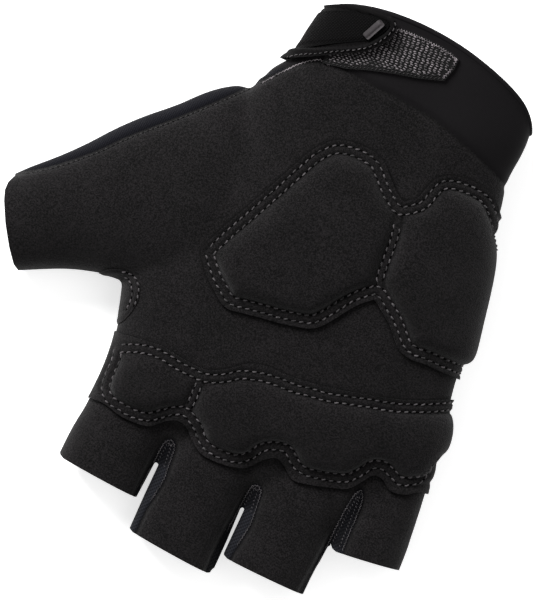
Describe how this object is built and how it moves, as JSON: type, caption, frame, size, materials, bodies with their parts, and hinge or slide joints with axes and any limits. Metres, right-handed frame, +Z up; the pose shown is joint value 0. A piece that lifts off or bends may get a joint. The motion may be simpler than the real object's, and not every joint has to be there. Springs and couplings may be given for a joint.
{
  "type": "cycling glove",
  "caption": "Right-hand fingerless cycling glove lying palm up, with padded palm overlays, ribbed finger gussets, a stretch cuff and a wrist strap.",
  "frame": {"origin": "centre of the glove's outline in plan, on the surface the glove lies on", "axes": "+Z up out of the palm, +Y from the fingertips to the wrist, +X from the thumb side to the little finger side"},
  "size_m": [0.1468, 0.1636, 0.0301],
  "materials": {
    "suede": "matte black suede with a fine pale speckle",
    "back_knit": "fine matte navy-black knit",
    "ribbed_knit": "ribbed grey-blue stretch knit",
    "cuff_fabric": "smooth blue-black stretch cloth",
    "loop_mesh": "open loop mesh of grey threads",
    "strap_fabric": "matte black bound webbing",
    "strap_grid": "black cloth with a fine raised grid",
    "tab_rubber": "dull grey moulded rubber"
  },
  "bodies": {
    "root": {"palm_panel": "suede", "back_panel": "back_knit", "gusset_index_middle": "ribbed_knit", "gusset_middle_ring": "ribbed_knit", "gusset_ring_little": "ribbed_knit", "thumb_web_patch": "suede", "heel_pad_overlay": "suede", "knuckle_pad_overlay": "suede", "cuff": "cuff_fabric", "cuff_binding": "cuff_fabric", "loop_patch": "loop_mesh", "wrist_strap": "strap_fabric", "strap_face": "strap_grid", "strap_tab": "tab_rubber"}
  },
  "joints": []
}
